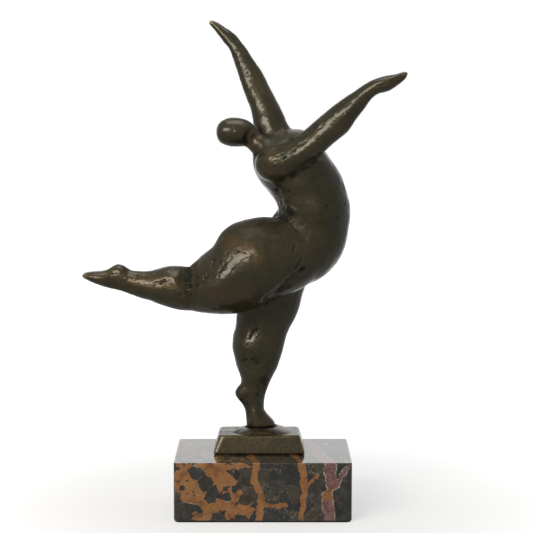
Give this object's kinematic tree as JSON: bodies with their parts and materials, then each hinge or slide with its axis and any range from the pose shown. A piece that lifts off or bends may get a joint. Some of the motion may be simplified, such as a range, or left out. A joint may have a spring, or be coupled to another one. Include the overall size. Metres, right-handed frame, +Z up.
{
  "type": "bronze statuette",
  "caption": "Full-figured faceless dancer in dark bronze, arching back on tiptoe with one leg raised behind and both arms flung up, on a tapered bronze base bolted to a polished marble block.",
  "frame": {"origin": "middle of the felt's underside, on the surface that the statuette stands on", "axes": "+X along the block's front, towards the reaching arm; +Y away from the front; +Z up"},
  "size_m": [0.219, 0.089, 0.3405],
  "materials": {
    "bronze": "dark olive-brown waxed patina, rubbed to yellow on edges and tips, with cast pits and chasing marks",
    "marble": "polished breccia, charcoal stones in ochre and rust with pale veins",
    "felt": "black felt",
    "steel": "zinc-plated fasteners",
    "pin_bronze": "bare bronze rod, filed flush"
  },
  "bodies": {
    "root": {"felt_pad": "felt", "marble_block": "marble", "base_nuts": "steel", "base_washers": "steel", "base_studs": "steel", "bronze_base": "bronze", "foot_nut": "steel", "foot_washer": "steel", "foot_rod": "steel", "standing_leg": "bronze", "standing_hip_pins": "pin_bronze", "torso": "bronze", "torso_core_plugs": "pin_bronze", "raised_thigh": "bronze", "raised_hip_pins": "pin_bronze", "thigh_core_plugs": "pin_bronze", "raised_lower_leg": "bronze", "knee_pin": "pin_bronze", "right_arm": "bronze", "right_shoulder_pin": "pin_bronze", "left_arm": "bronze", "left_shoulder_pin": "pin_bronze", "head": "bronze", "neck_pin": "pin_bronze"}
  },
  "joints": []
}
